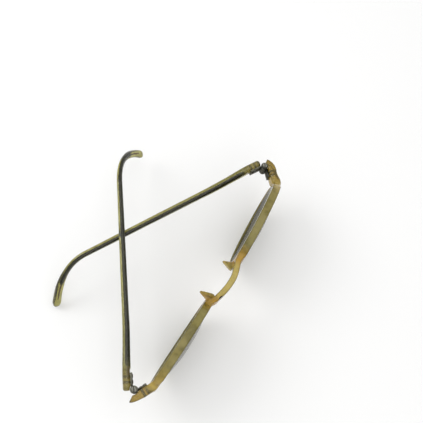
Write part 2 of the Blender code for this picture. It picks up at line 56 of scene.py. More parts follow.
SIDES = {"right": -1, "left": 1}
JOINTS = {joint["child"]: joint for joint in frame["joints"]}
MOUNTS = {mount["name"]: mount for mount in frame["record"]["mounts"]}
UP = Vector((0.0, 0.0, 1.0))

WELD = 0.002                                     # points closer than this are one
FLAT_WITHIN = 1.0                                # degrees between faces taken as one plane

# Camera
CAMERA_AT = (-60.4, -39.2, 278.7)
CAMERA_FORWARD = (0.3303, 0.0954, -0.9390)
CAMERA_UP = (0.8079, 0.4859, 0.3335)
CAMERA_LENS = 46.47
CAMERA_SENSOR = 36.0
CAMERA_CLIP = 10.0

# Front sheet and lens
SHEET = 3.8                                      # thickness of the acetate sheet
EYE_HALF_WIDTH = 22.0
EYE_HALF_HEIGHT = 19.5
EYE_SQUARENESS = 2.12
EYE_TOP_FLARE = 0.05
MOUNT_ABOVE_EYE = 0.95
ACETATE_FACE = 1.45                              # hinge axis to the acetate's face
END_ANGLE = {"right": 27.0, "left": 42.0}        # degrees that the end pieces turn back
FRONT_RIVET_AT = (2.6, 4.6)
RIVET_PLUG_RADIUS = 0.9
RIVET_PLUG_SIDES = 24
FRONT_VOXEL = 0.25
FRONT_SMOOTHING = 5
BRIDGE_SMOOTHING = 26
BRIDGE_REACH = 5.5
SHOULDER_SMOOTHING = 170
SHOULDER_REACH = 6.0
END_CORNERS = ((-9.0, -4.2, 2.6), (-6.4, -5.2, -4.6))
SMOOTH_FACTOR = 0.5

# Nose pads: fins that flare into the rims
PAD_DEPTH = 4.5
PAD_ROOT = -1.4
PAD_HALF_HEIGHT = 4.7
PAD_POINT = 1.35
PAD_TIP_HALF = 0.62
PAD_FLARE = {"right": 0.75, "left": 1.55}
PAD_FLARE_POWER = 1.35
PAD_SPLAY = 8.0                                  # degrees
PAD_TAPER = 0.9                                  # share of the height lost at the point
PAD_BLUNTNESS = 8
PAD_THINNEST = 0.05
PAD_RINGS = 18
PAD_SIDES = 28

# Webs that carry the bridge and the end pieces smoothly into the rims
BRIDGE_WEB = {
    "right": ((-17.0, 5.0), (-16.4, 3.7), (-14.0, 3.1), (-12.0, 2.6), (-10.0, 2.3),
              (-9.5, 4.2), (-12.5, 5.2)),
    "left": ((16.5, 3.2), (16.5, 0.9), (13.5, 0.9), (10.5, 0.8), (8.6, 1.0),
             (8.6, 2.8), (11.0, 3.6)),
}
BRIDGE_WEB_HALF_HEIGHT = 2.5
BRIDGE_END_X = 12.0
BRIDGE_MID_Z = 4.4                               # down from the bridge's top
END_WEB = {
    "right": ((-3.5, -2.0), (-3.5, -5.0), (-7.2, -5.4), (-11.0, -4.5), (-11.0, -1.4), (-7.0, -1.7)),
    "left": ((-4.0, -2.0), (-4.0, -5.0), (-6.3, -5.8), (-8.2, -6.4), (-10.0, -6.3), (-12.0, -5.4),
             (-14.0, -3.9), (-12.0, -1.4), (-8.0, -1.5)),
}
END_WEB_HALF_HEIGHT = 3.3
WEB_TRIM = 0.15                                  # kept back from the eyes' outlines

# The bridge's bow is fuller on the right
SWELL_PEAK = -10.0
SWELL_TO = -14.5
SWELL = 1.65
SWELL_POWER = 1.35
SWELL_LOW_Z = 26.0
SWELL_FULL_Z = 30.0

# The end pieces' tips, each bent a little differently
TIP_FROM = -1.0
TIP_TO = 4.6
TIP_BEND = {"right": -0.75, "left": 1.2}
TIP_BEND_POWER = 1.6
TIP_LENGTH = {"right": 1.08, "left": 0.86}
MIDDLE_GAP = 0.05                                # each side is bent only past this

# A nick in the bridge's front edge
CHIP_AT = (-9.0, 0.34, -0.20)                    # from the bridge's top mount
CHIP_SIZE = (1.5, 0.75, 2.6)
CHIP_DEPTH = 0.35
CHIP_GRAIN = 1500                                # per metre
CHIP_TURN = 30.0
CHIP_REACH = 0.68
CHIP_FADE = 0.10
CHIP_SQUASH = (0.55, 0.9, 0.6)

# Lenses, with a ridge for the rims' grooves
LENS_RADIUS_FRONT = 74.0
LENS_RADIUS_BACK = 62.0
LENS_THICKNESS = 1.8
LENS_REST_RHO = 21.0
LENS_BACK_EDGE = -1.5
LENS_EDGE_CLEARANCE = 0.3
LENS_CHAMFER = 0.12
LENS_CHAMFER_DROP = 0.1
LENS_RIDGE_OUT = 0.55
LENS_RIDGE_HALF = 0.12
LENS_CREASE = 30.0
LENS_STEPS = 128
LENS_RINGS = 26
# A dark line painted into the groove at the lens's front, as painted shade in the gap between lens and rim
GROOVE_LINE_RADIUS = 0.13
GROOVE_LINE_INSET = 0.12
GROOVE_LINE_FORWARD = 0.95
GROOVE_LINE_STEPS = 200
GROOVE_LINE_SIDES = 6
GROOVE_LINE_GRAIN = 4

# Temples
TEMPLE_SLOPE = {"right": 0.0, "left": -0.07}
BUTT_START = {"right": -0.2, "left": 0.7}
TEMPLE_BEND_START = 97.0
BEND_SHARE = 0.78
HOOK_CONTROL = {"right": 115.5, "left": 110.5}
HOOK_END = (120.5, 11.2, 19.4)
SLOPE_START = 8.6
TEMPLE_SQUARENESS = 2.7
TEMPLE_CREASE = 50.0
TEMPLE_SIDES = 40
TEMPLE_RINGS = 150
FLAT_END = 8.4
TEMPLE_SIZES = (                                 # share, thickness, height
    (0.00, 3.5, 5.8),
    (0.06, 3.7, 6.0),
    (0.16, 3.4, 4.6),
    (0.35, 3.1, 3.6),
    (0.60, 2.9, 3.3),
    (0.76, 2.7, 3.0),
    (0.87, 2.5, 2.7),
    (0.95, 3.0, 3.8),
    (1.00, 3.1, 4.2),
)
TEMPLE_OUTSET = ((0.0, 3.1), (0.25, 2.2), (1.0, 2.0))
TANGENT_STEP = 0.004
BUTT_ROUND_SHARE = 0.010
TIP_ROUND_SHARE = 0.016
BUTT_RINGS = 8
TIP_RINGS = 10
END_RING_POWER = 1.6
END_SMALLEST = 0.42
END_ROUND_POWER = 2.4

# Hinges
KNUCKLE_SWEEP = 1.95                             # kept clear round the axis
BARREL_HALF_HEIGHT = 3.6
LEAF_EDGE = 0.12                                 # widths of the broken edges
SCREW_EDGE = 0.08
RIVET_EDGE = 0.06
EDGE_SEGMENTS = 3
EDGE_FROM_ANGLE = 40.0
METAL_CREASE = 38.0

# Colours and clearness, from 0 at the bridge or a hinge to 1 at these distances
FRONT_SPAN = 70.0
TEMPLE_SPAN = 120.0
HONEY_TINTS = (
    (0.00, (0.60, 0.49, 0.14)),
    (0.11, (0.60, 0.46, 0.11)),
    (0.155, (0.52, 0.29, 0.02)),
    (0.20, (0.42, 0.26, 0.03)),
    (0.26, (0.275, 0.235, 0.070)),
    (0.67, (0.26, 0.215, 0.065)),
    (0.78, (0.42, 0.30, 0.07)),
    (0.90, (0.58, 0.45, 0.10)),
)
HONEY_CLARITY = ((0.00, 0.45), (0.22, 0.28), (0.74, 0.15), (0.80, 0.15), (0.84, 0.84))
OLIVE_TINTS = (
    (0.00, (0.66, 0.53, 0.20)),
    (0.07, (0.62, 0.52, 0.20)),
    (0.10, (0.72, 0.68, 0.27)),
    (0.80, (0.69, 0.65, 0.26)),
    (0.93, (0.52, 0.43, 0.15)),
)
OLIVE_CLARITY = ((0.00, 0.75), (0.08, 0.85), (0.12, 0.985))

# Core wires
WIRE_RADIUS = 0.66
WIRE_INWARD = 0.25
WIRE_FROM = 9.8
WIRE_TO_SHARE = 0.93
WIRE_BLUNTNESS = 60
WIRE_END_SHARE = 0.35
TANG_RADIUS = 0.24
TANG_FROM = 4.6
TANG_TO_SHARE = 0.978
TANG_LAP = 0.004
TANG_BELLY = 0.5
WIRE_SIDES = 14
WIRE_RINGS = 420
STRAND_COUNT = 3
STRAND_DEPTH = 0.13
STRAND_PITCH = 3.4
STRAND_LEVEL = 0.6

# Stage, in metres
FLOOR_HALF_SIZE = 3.0
WORLD_STRENGTH = 0.82
LAMPS = (                                        # name, place, size, watts
    ("key", (-0.05, 0.55, 0.55), 0.45, 1.5),
    ("fill", (-0.45, -0.30, 0.60), 0.60, 0.5),
    ("top", (0.10, 0.0, 0.90), 0.70, 1.0),
)


# Meshes -------------------------------------------------------------------------------


def add_object(name, mesh):
    made = bpy.data.objects.new(name, mesh)
    bpy.context.scene.collection.objects.link(made)
    return made


def from_bmesh(name, shape):
    mesh = bpy.data.meshes.new(name)
    shape.to_mesh(mesh)
    shape.free()
    return add_object(name, mesh)


def applied(item):
    """The same object with its modifiers applied."""
    bpy.context.view_layer.update()
    evaluated = item.evaluated_get(bpy.context.evaluated_depsgraph_get())
    mesh = bpy.data.meshes.new_from_object(evaluated)
    item.modifiers.clear()
    item.data = mesh
    return item


def smooth(item, angle=None):
    """Shade smoothly, but sharply where faces meet at more than some degrees."""
    item.data.shade_smooth()
    if angle is not None:
        item.data.set_sharp_from_angle(angle=math.radians(angle))
    return item


def loft(name, rings):
    """A closed skin over rings of equal length."""
    shape = bmesh.new()
    loops = [[shape.verts.new(point * MM) for point in ring] for ring in rings]
    for first, second in zip(loops, loops[1:]):
        for index in range(len(first)):
            following = (index + 1) % len(first)
            shape.faces.new((first[index], first[following], second[following], second[index]))
    shape.faces.new(list(reversed(loops[0])))
    shape.faces.new(loops[-1])
    bmesh.ops.recalc_face_normals(shape, faces=shape.faces)
    return from_bmesh(name, shape)


def cad_copy(shape, node, move=(0.0, 0.0, 0.0)):
    """Add a CAD node's mesh to a bmesh, moved by some millimetres."""
    mesh = frame["nodes"][node].data.copy()
    mesh.transform(Matrix.Translation(Vector(move) * MM))
    shape.from_mesh(mesh)
    bpy.data.meshes.remove(mesh)


def finish_piece(item, body, slot, material, *nodes):
    item.data.materials.clear()
    item.data.materials.append(material)
    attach(item, body)
    if nodes:
        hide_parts(*nodes)
    return item


# Frames of reference ------------------------------------------------------------------


def hinge_at(side):
    return Vector(JOINTS["temple_" + side]["pos_m"])


def end_frame(side):
    """X along the end piece (outward), Y to its rear and Z up, from the hinge axis."""
    turn = Matrix.Rotation(math.radians(END_ANGLE[side]), 4, "Z")
    mirror = Matrix.Diagonal((SIDES[side], 1.0, 1.0, 1.0))
    return Matrix.Translation(hinge_at(side)) @ mirror @ turn


def temple_frame(side):
    """The open temple's frame (X outward, Y to the rear, Z up) turned to its place at rest."""
    rest = -JOINTS["temple_" + side]["range_deg"][0]
    fold = Matrix.Rotation(math.radians(rest), 4, "Z")
    mirror = Matrix.Diagonal((SIDES[side], 1.0, 1.0, 1.0))
    return Matrix.Translation(hinge_at(side)) @ mirror @ fold


def eye_frame(side):
    """X outward, Y up and Z forward, from the middle of one eye, set by the rim's mount."""
    mount = MOUNTS[side + "_rim_front"]
    forward = Vector(mount["axis"]).normalized()
    across = UP.cross(forward).normalized()
    up = forward.cross(across)
    centre = Vector(mount["pos_m"]) - up * (EYE_HALF_HEIGHT + MOUNT_ABOVE_EYE) * MM
    centre -= forward * SHEET / 2 * MM
    across *= SIDES[side]
    columns = (across.to_4d(), up.to_4d(), forward.to_4d(), centre.to_4d())
    made = Matrix(columns).transposed()
    made[3][0] = made[3][1] = made[3][2] = 0.0
    return made


def placed(item, matrix):
    item.data.transform(matrix)
    if matrix.determinant() < 0:
        item.data.flip_normals()
    return item


# Acetate front ------------------------------------------------------------------------


def rivet_plug(shape, side, along):
    """A plug of acetate that closes a rivet's clearance hole round the rivet."""
    lay = Matrix.Rotation(math.radians(90), 4, "X")
    middle = Matrix.Translation(Vector((-along, -ACETATE_FACE - SHEET / 2, 0.0)) * MM)
    bmesh.ops.create_cone(
        shape, cap_ends=True, segments=RIVET_PLUG_SIDES, radius1=RIVET_PLUG_RADIUS * MM,
        radius2=RIVET_PLUG_RADIUS * MM, depth=SHEET * MM, matrix=end_frame(side) @ middle @ lay)


def carve_chip(item):
    """A shallow nick broken out of the bridge's front edge."""
    centre = Vector(MOUNTS["bridge_top"]["pos_m"]) + Vector(CHIP_AT) * MM
    for vert in item.data.vertices:
        offset = vert.co - centre
        reach = math.sqrt(sum((offset[axis] / (CHIP_SIZE[axis] * MM)) ** 2 for axis in range(3)))
        if reach < 1.0:
            rough = 0.75 + 0.25 * noise.noise(vert.co * CHIP_GRAIN)
            vert.co -= vert.normal * CHIP_DEPTH * MM * (1.0 - reach * reach) * rough


def prism(shape, outline, half_high, matrix):
    """Add an upright block with an outline in millimetres to a bmesh."""
    loops = []
    for height in (-half_high, half_high):
        loops.append([shape.verts.new(matrix @ (Vector((x, y, height)) * MM)) for x, y in outline])
    low, high = loops
    for index in range(len(outline)):
        following = (index + 1) % len(outline)
        shape.faces.new((low[index], low[following], high[following], high[index]))
    shape.faces.new(list(reversed(low)))
    shape.faces.new(high)


def pad_fin(shape, side):
    """Add a nose pad: a fin that flares where it meets the back of the rim."""
    low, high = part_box("nose_pad_" + side)
    root = Vector(((low[0] + high[0]) / 2, low[1], (low[2] + high[2]) / 2))
    splay = Matrix.Rotation(math.radians(-SIDES[side] * PAD_SPLAY), 4, "Y")
    place = Matrix.Translation(root) @ splay
    loops = []
    for step in range(PAD_RINGS + 1):
        part = math.sin(math.pi / 2 * step / PAD_RINGS)
        depth = PAD_ROOT + (PAD_DEPTH - PAD_ROOT) * part
        out = max(depth, 0.0) / PAD_DEPTH
        half_high = PAD_HALF_HEIGHT * (1.0 - PAD_TAPER * out ** PAD_POINT)
        half_wide = PAD_TIP_HALF * math.sqrt(max(1.0 - out ** PAD_BLUNTNESS, PAD_THINNEST))
        half_wide += PAD_FLARE[side] * (1 - out) ** PAD_FLARE_POWER
        loop = []
        for corner in range(PAD_SIDES):
            turn = 2 * math.pi * corner / PAD_SIDES
            at = Vector((half_wide * math.cos(turn), depth, half_high * math.sin(turn)))
            loop.append(shape.verts.new(place @ (at * MM)))
        loops.append(loop)
    for first, second in zip(loops, loops[1:]):
        for index in range(PAD_SIDES):
            following = (index + 1) % PAD_SIDES
            shape.faces.new((first[index], first[following], second[following], second[index]))
    shape.faces.new(list(reversed(loops[0])))
    shape.faces.new(loops[-1])


def shape_tips(item):
    """Bend the end pieces' tips and change their lengths, each a little differently."""
    for side, sign in SIDES.items():
        place = end_frame(side)
        back = place.inverted()
        for vert in item.data.vertices:
            if vert.co.x * sign < MIDDLE_GAP:
                continue
            at = back @ vert.co / MM
            part = (at.x - TIP_FROM) / (TIP_TO - TIP_FROM)
            if part > 0.0:
                at.x = TIP_FROM + (at.x - TIP_FROM) * TIP_LENGTH[side]
                at.y += TIP_BEND[side] * part ** TIP_BEND_POWER
                vert.co = place @ (at * MM)


def clear_knuckles(item):
    """Keep the acetate off the knuckles that turn beside it."""
    for side in SIDES:
        axis = hinge_at(side)
        for vert in item.data.vertices:
            offset = vert.co - axis
            flat = Vector((offset.x, offset.y, 0.0))
            if abs(offset.z) < BARREL_HALF_HEIGHT * MM and flat.length < KNUCKLE_SWEEP * MM:
                vert.co += flat.normalized() * KNUCKLE_SWEEP * MM - flat


def swell_bridge(item):
    """Carry the bridge's right half a little forward, for its fuller bow."""
    for vert in item.data.vertices:
        x, z = vert.co.x / MM, vert.co.z / MM
        if SWELL_TO < x < 0.0:
            if x > SWELL_PEAK:
                full = (x / SWELL_PEAK) ** SWELL_POWER
            else:
                past = (x - SWELL_PEAK) / (SWELL_TO - SWELL_PEAK)
                full = math.cos(math.pi / 2 * past) ** 2
            high = min(max((z - SWELL_LOW_Z) / (SWELL_FULL_Z - SWELL_LOW_Z), 0.0), 1.0)
            vert.co.y -= SWELL * MM * full * high * high * (3 - 2 * high)


def soften(item, name, points, reach, rounds):
    """Smooth a mesh near some points, fading out at a reach in millimetres."""
    group = item.vertex_groups.new(name=name)
    for vert in item.data.vertices:
        near = min((vert.co - point).length for point in points) / MM
        if near < reach:
            group.add((vert.index,), min(1.0, 2.0 * (1.0 - near / reach)), "REPLACE")
    local = item.modifiers.new(name, "SMOOTH")
    local.factor = SMOOTH_FACTOR
    local.iterations = rounds
    local.vertex_group = name


def add_webs(shape, bridge_middle):
    """Add the webs at the bridge's and end pieces' roots, trimmed to the eyes' outlines."""
    blocks = bmesh.new()
    for side in SIDES:
        prism(blocks, BRIDGE_WEB[side], BRIDGE_WEB_HALF_HEIGHT, Matrix.Translation(bridge_middle))
        prism(blocks, END_WEB[side], END_WEB_HALF_HEIGHT, end_frame(side))
    bmesh.ops.recalc_face_normals(blocks, faces=blocks.faces)
    webs = from_bmesh("webs", blocks)
    cutters = []
    for side in SIDES:
        turns = [2 * math.pi * step / LENS_STEPS for step in range(LENS_STEPS)]
        opening = bmesh.new()
        prism(opening, [eye_point(turn, WEB_TRIM) for turn in turns], 2 * SHEET, eye_frame(side))
        bmesh.ops.recalc_face_normals(opening, faces=opening.faces)
        cutters.append(from_bmesh("eye_" + side, opening))
        trim = webs.modifiers.new(side, "BOOLEAN")
        trim.operation = "DIFFERENCE"
        trim.object = cutters[-1]
    shape.from_mesh(applied(webs).data)
    for item in (webs, *cutters):
        bpy.data.objects.remove(item)


def build_front(material):
    shape = bmesh.new()
    cad_copy(shape, "front")
    bridge_middle = Vector(MOUNTS["bridge_top"]["pos_m"]) - UP * BRIDGE_MID_Z * MM
    add_webs(shape, bridge_middle)
    for side in SIDES:
        pad_fin(shape, side)
        for along in FRONT_RIVET_AT:
            rivet_plug(shape, side, along)
    bmesh.ops.remove_doubles(shape, verts=shape.verts, dist=WELD * MM)
    front = from_bmesh("acetate_front", shape)
    remesh = front.modifiers.new("remesh", "REMESH")
    remesh.mode = "VOXEL"
    remesh.voxel_size = FRONT_VOXEL * MM
    front = applied(front)
    shape_tips(front)
    swell_bridge(front)

    overall = front.modifiers.new("polish", "SMOOTH")
    overall.factor = SMOOTH_FACTOR
    overall.iterations = FRONT_SMOOTHING
    roots = [bridge_middle + Vector((sign * BRIDGE_END_X * MM, 0, 0)) for sign in SIDES.values()]
    shoulders = [end_frame(side) @ (Vector(at) * MM) for side in SIDES for at in END_CORNERS]
    soften(front, "roots", roots, BRIDGE_REACH, BRIDGE_SMOOTHING)
    soften(front, "shoulders", shoulders, SHOULDER_REACH, SHOULDER_SMOOTHING)
    front = applied(front)
    clear_knuckles(front)
    carve_chip(front)
    smooth(front)
    return finish_piece(front, "front", "honey_acetate", material,
                        "front", "nose_pad_right", "nose_pad_left")


# Lenses -------------------------------------------------------------------------------


def eye_point(turn, grow):
    """A point on the eye's outline, grown by a distance in millimetres."""
    c, s = math.cos(turn), math.sin(turn)
    power = 2 / EYE_SQUARENESS
    across = math.copysign(abs(c) ** power, c) * (1 + EYE_TOP_FLARE * s)
    up = math.copysign(abs(s) ** power, s)
    return (EYE_HALF_WIDTH + grow) * across, (EYE_HALF_HEIGHT + grow) * up


def dome(radius, x, y):
    """Height of a sphere's cap against its pole."""
    return math.sqrt(radius * radius - x * x - y * y) - radius


def build_lens(side, material):
    """A meniscus lens with a ridged edge that reaches into the rim's groove."""
    front_rest = LENS_RADIUS_FRONT - math.sqrt(LENS_RADIUS_FRONT ** 2 - LENS_REST_RHO ** 2)
    back_rest = LENS_RADIUS_BACK - math.sqrt(LENS_RADIUS_BACK ** 2 - LENS_REST_RHO ** 2)
    shape = bmesh.new()
    turns = [2 * math.pi * step / LENS_STEPS for step in range(LENS_STEPS)]

    def ring(share, grow, height):
        loop = []
        for turn in turns:
            x, y = eye_point(turn, grow)
            x, y = x * share, y * share
            loop.append(shape.verts.new(Vector((x, y, height(x, y))) * MM))
        return loop

    def front_height(x, y):
        return front_rest + dome(LENS_RADIUS_FRONT, x, y) + LENS_THICKNESS / 2

    def back_height(x, y):
        return LENS_BACK_EDGE + back_rest + dome(LENS_RADIUS_BACK, x, y)

    shares = [math.sin(math.pi / 2 * step / LENS_RINGS) for step in range(1, LENS_RINGS + 1)]
    edge = -LENS_EDGE_CLEARANCE
    face = edge - LENS_CHAMFER
    rings = [ring(share, face, front_height) for share in shares]
    rings.append(ring(1.0, edge, lambda x, y: front_height(x, y) - LENS_CHAMFER_DROP))
    rings.append(ring(1.0, LENS_RIDGE_OUT, lambda x, y: LENS_RIDGE_HALF))
    rings.append(ring(1.0, LENS_RIDGE_OUT, lambda x, y: -LENS_RIDGE_HALF))
    rings.append(ring(1.0, edge, lambda x, y: back_height(x, y) + LENS_CHAMFER_DROP))
    rings += [ring(share, face, back_height) for share in reversed(shares)]
    front_pole = shape.verts.new(Vector((0, 0, front_height(0, 0))) * MM)
    back_pole = shape.verts.new(Vector((0, 0, back_height(0, 0))) * MM)
    for index in range(LENS_STEPS):
        following = (index + 1) % LENS_STEPS
        shape.faces.new((front_pole, rings[0][index], rings[0][following]))
        shape.faces.new((back_pole, rings[-1][following], rings[-1][index]))
        for first, second in zip(rings, rings[1:]):
            shape.faces.new((first[index], second[index], second[following], first[following]))
    bmesh.ops.recalc_face_normals(shape, faces=shape.faces)
    lens = placed(from_bmesh("tinted_lens_" + side, shape), eye_frame(side))
    return finish_piece(smooth(lens, LENS_CREASE), "front", "grey_lens", material, "lens_" + side)


def build_groove_line(side, material):
    """A dark line painted in the groove between the lens and the rim, as painted shade in the gap."""
    shape = bmesh.new()
    loops = []
    for step in range(GROOVE_LINE_STEPS):
        turn = 2 * math.pi * step / GROOVE_LINE_STEPS
        seed = Vector((math.cos(turn) * GROOVE_LINE_GRAIN, math.sin(turn) * GROOVE_LINE_GRAIN,
                       SIDES[side]))
        thick = GROOVE_LINE_RADIUS * (0.75 + 0.5 * noise.noise(seed))
        loop = []
        for corner in range(GROOVE_LINE_SIDES):
            angle = 2 * math.pi * corner / GROOVE_LINE_SIDES
            x, y = eye_point(turn, -GROOVE_LINE_INSET + thick * math.cos(angle))
            z = GROOVE_LINE_FORWARD + thick * math.sin(angle)
            loop.append(shape.verts.new(Vector((x, y, z)) * MM))
        loops.append(loop)
    for index, loop in enumerate(loops):
        after = loops[(index + 1) % GROOVE_LINE_STEPS]
        for corner in range(GROOVE_LINE_SIDES):
            following = (corner + 1) % GROOVE_LINE_SIDES
            shape.faces.new((loop[corner], loop[following], after[following], after[corner]))
    bmesh.ops.recalc_face_normals(shape, faces=shape.faces)
    line = placed(from_bmesh("groove_shade_line_" + side, shape), eye_frame(side))
    return finish_piece(smooth(line), "front", "honey_acetate", material)


# Temples ------------------------------------------------------------------------------


def between(table, share, column):
    """Smooth value of one column of a table at a share of the way along."""
    for low, high in zip(table, table[1:]):
        if share <= high[0]:
            part = (share - low[0]) / (high[0] - low[0])
            part = part * part * (3 - 2 * part)
            return low[column] + (high[column] - low[column]) * part
    return table[-1][column]


def temple_point(side, share):
    """Centre line of the open temple: X outward, Y to the rear, Z up, in millimetres."""
    start = Vector((TEMPLE_BEND_START, 0.0, 0.0))
    if share <= BEND_SHARE:
        butt = BUTT_START[side]
        route = Vector((butt + (TEMPLE_BEND_START - butt) * share / BEND_SHARE, 0.0, 0.0))
    else:
        t = (share - BEND_SHARE) / (1 - BEND_SHARE)
        control = Vector((HOOK_CONTROL[side], 0.0, 0.0))
        route = start * (1 - t) ** 2 + control * 2 * t * (1 - t) + Vector(HOOK_END) * t * t
    outset = between(TEMPLE_OUTSET, share, 1)
    drop = TEMPLE_SLOPE[side] * max(route.x - SLOPE_START, 0.0)
    return Vector((outset - route.y, route.x, drop - route.z))


def section_frame(side, share):
    """Centre, lateral direction and upward direction of a cross-section."""
    before = temple_point(side, max(share - TANGENT_STEP, 0.0))
    after = temple_point(side, min(share + TANGENT_STEP, 1.0))
    ahead = (after - before).normalized()
    up = Vector((1, 0, 0)).cross(ahead).normalized()
    lateral = ahead.cross(up).normalized()
    return temple_point(side, share), lateral, up


def share_at(side, along):
    """The share of the way along at a distance from the hinge axis, before the hook."""
    butt = BUTT_START[side]
    return BEND_SHARE * (along - butt) / (TEMPLE_BEND_START - butt)


def end_rounding(share):
    """Size of the section against the full one, rounded like a dome at both ends."""
    for depth, reach in ((share, BUTT_ROUND_SHARE), (1.0 - share, TIP_ROUND_SHARE)):
        if depth < reach:
            part = 1.0 - depth / reach
            dome_size = math.sqrt(max(0.0, 1.0 - part ** END_ROUND_POWER))
            return END_SMALLEST + (1.0 - END_SMALLEST) * dome_size
    return 1.0


def temple_section(side, share):
    """A rounded cross-section of the temple, flat where it lies on the hinge's leaf."""
    centre, lateral, up = section_frame(side, share)
    squeeze = end_rounding(share)
    half_thick = between(TEMPLE_SIZES, share, 1) / 2 * squeeze
    half_high = between(TEMPLE_SIZES, share, 2) / 2 * squeeze
    power = 2 / TEMPLE_SQUARENESS
    ring = []
    for step in range(TEMPLE_SIDES):
        turn = 2 * math.pi * (step + 0.5) / TEMPLE_SIDES
        c, s = math.cos(turn), math.sin(turn)
        across = math.copysign(abs(c) ** power, c) * half_thick
        rise = math.copysign(abs(s) ** power, s) * half_high
        point = centre + lateral * across + up * rise
        if point.y < FLAT_END:
            point.x = max(point.x, ACETATE_FACE)
        if abs(point.y) < KNUCKLE_SWEEP:
            point.x = max(point.x, math.sqrt(KNUCKLE_SWEEP ** 2 - point.y ** 2))
        ring.append(point)
    return ring


def temple_shares():
    """Shares along the temple, closer together where the ends round off."""
    span = 1.0 - TIP_ROUND_SHARE - BUTT_ROUND_SHARE
    shares = [BUTT_ROUND_SHARE * (step / BUTT_RINGS) ** END_RING_POWER
              for step in range(BUTT_RINGS + 1)]
    shares += [BUTT_ROUND_SHARE + span * step / TEMPLE_RINGS for step in range(1, TEMPLE_RINGS)]
    shares += [1.0 - TIP_ROUND_SHARE * (step / TIP_RINGS) ** END_RING_POWER
               for step in range(TIP_RINGS, -1, -1)]
    return shares


def build_temple(side, material):
    rings = [temple_section(side, share) for share in temple_shares()]
    temple = placed(loft("acetate_temple_" + side, rings), temple_frame(side))
    return finish_piece(smooth(temple, TEMPLE_CREASE), "temple_" + side, "olive_acetate", material,
                        "temple_" + side)


def wire_rings(side, low, high, radius_at, twisted):
    """Rings of a wire inside the temple, lobed like twisted strands where twisted is 1."""
    rings = []
    for index in range(WIRE_RINGS):
        part = index / (WIRE_RINGS - 1)
        share = low + (high - low) * part
        centre, lateral, up = section_frame(side, share)
        centre = centre - lateral * WIRE_INWARD
        radius = radius_at(part)
        twist = 2 * math.pi * centre.y / STRAND_PITCH
        ring = []
        for step in range(WIRE_SIDES):
            turn = 2 * math.pi * step / WIRE_SIDES
            crest = abs(math.cos(STRAND_COUNT * (turn - twist) / 2)) - STRAND_LEVEL
            lobes = 1.0 + twisted * STRAND_DEPTH * crest
            ring.append(centre + (lateral * math.cos(turn) + up * math.sin(turn)) * radius * lobes)
        rings.append(ring)
    return rings


def build_wire(side, steel, rusted):
    """The twisted spring core and the thin rusty tang at each of its ends."""
    low = share_at(side, WIRE_FROM)

    def core_radius(part):
        blunt = min(part, 1.0 - part) * WIRE_BLUNTNESS
        return WIRE_RADIUS * min(1.0, WIRE_END_SHARE + blunt)

    core = loft("spring_core_" + side, wire_rings(side, low, WIRE_TO_SHARE, core_radius, 1.0))
    placed(core, temple_frame(side))
    finish_piece(smooth(core), "temple_" + side, "core_wire", steel, "core_wire_" + side)
    spans = {
        "core_tang_front_": (share_at(side, TANG_FROM), low + TANG_LAP, 0.5),
        "core_tang_rear_": (WIRE_TO_SHARE - TANG_LAP, TANG_TO_SHARE, 0.9),
    }
    for name, (start, stop, size) in spans.items():
        def tang_radius(part):
            return TANG_RADIUS * (size + TANG_BELLY * math.sin(math.pi * part))
        tang = loft(name + side, wire_rings(side, start, stop, tang_radius, 0.0))
        placed(tang, temple_frame(side))
        finish_piece(smooth(tang), "temple_" + side, "core_wire", rusted)


# Hinges -------------------------------------------------------------------------------


def refined(node, name, body, material, width):
    """A CAD metal piece with its sharp outer edges broken and polished."""
    shape = bmesh.new()
    cad_copy(shape, node)
    bmesh.ops.remove_doubles(shape, verts=shape.verts, dist=WELD * MM)
    bmesh.ops.dissolve_limit(
        shape, angle_limit=math.radians(FLAT_WITHIN), verts=shape.verts, edges=shape.edges)
    sharp = math.radians(EDGE_FROM_ANGLE)
    outer = [
        edge for edge in shape.edges
        if edge.is_manifold and edge.is_convex and edge.calc_face_angle() > sharp]
    bmesh.ops.bevel(
        shape, geom=outer, offset=width * MM, segments=EDGE_SEGMENTS, profile=0.5,
        affect="EDGES", clamp_overlap=True)
    item = from_bmesh(name, shape)
    return finish_piece(smooth(item, METAL_CREASE), body, "hinge_metal", material, node)


def build_hinges(metal, screw_metal):
    for side in SIDES:
        temple = "temple_" + side
        for body, name in (("front", "front_"), (temple, "temple_")):
            refined(name + "hinge_leaf_" + side, name + "leaf_" + side, body, metal, LEAF_EDGE)
        refined("hinge_screw_" + side, "slotted_screw_" + side, "front", screw_metal, SCREW_EDGE)
        for number in (1, 2):
            tail = "%s_%d" % (side, number)
            refined("front_rivet_" + tail, "end_rivet_" + tail, "front", metal, RIVET_EDGE)
            refined("temple_rivet_" + tail, "bow_rivet_" + tail, temple, metal, RIVET_EDGE)


# Materials ----------------------------------------------------------------------------


